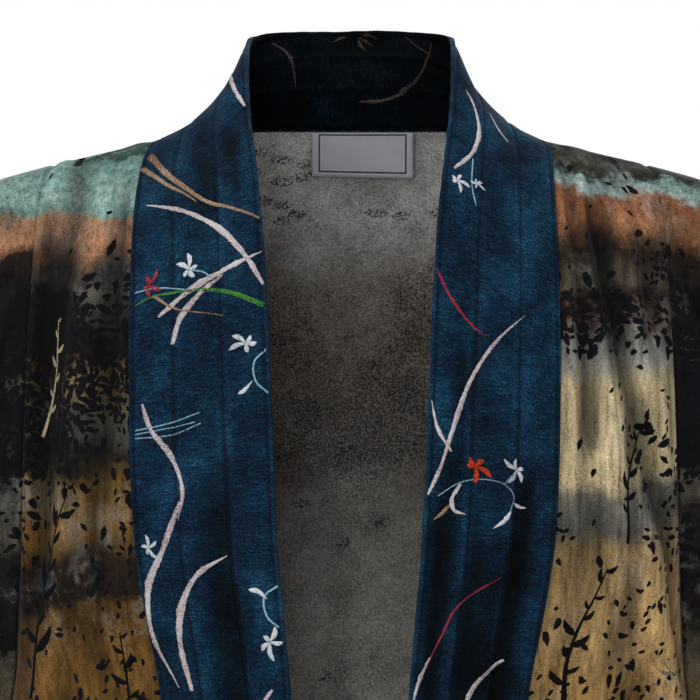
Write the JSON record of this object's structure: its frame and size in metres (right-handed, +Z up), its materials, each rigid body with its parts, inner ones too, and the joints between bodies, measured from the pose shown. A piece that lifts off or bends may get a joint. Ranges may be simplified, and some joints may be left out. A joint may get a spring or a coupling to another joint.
{
  "type": "kimono dress",
  "caption": "Long velvet kimono dress worn open in front, with a wide stitched neck band, deep wide sleeves and an empty, hollow body.",
  "frame": {"origin": "midway between the shoulders, in the plane of the shoulder ridges and at their height, where the wearer carries the dress", "axes": "+Z up, -Y to the front, +X to the wearer's left"},
  "size_m": [1.0118, 0.2759, 1.3453],
  "materials": {
    "print_velvet": "printed velvet in bands of aqua, rust, brown and gold, soft pile with a sheen, dull grey wrong side",
    "band_velvet": "petrol blue velvet with pale twigs, stitched lengthwise in channels",
    "label_cloth": "smooth woven white label, bare but for a thin dark border"
  },
  "bodies": {
    "root": {"back": "print_velvet", "front_left": "print_velvet", "front_right": "print_velvet", "sleeve_left": "print_velvet", "sleeve_right": "print_velvet", "neck_band_left": "band_velvet", "neck_band_right": "band_velvet", "label": "label_cloth"}
  },
  "joints": []
}
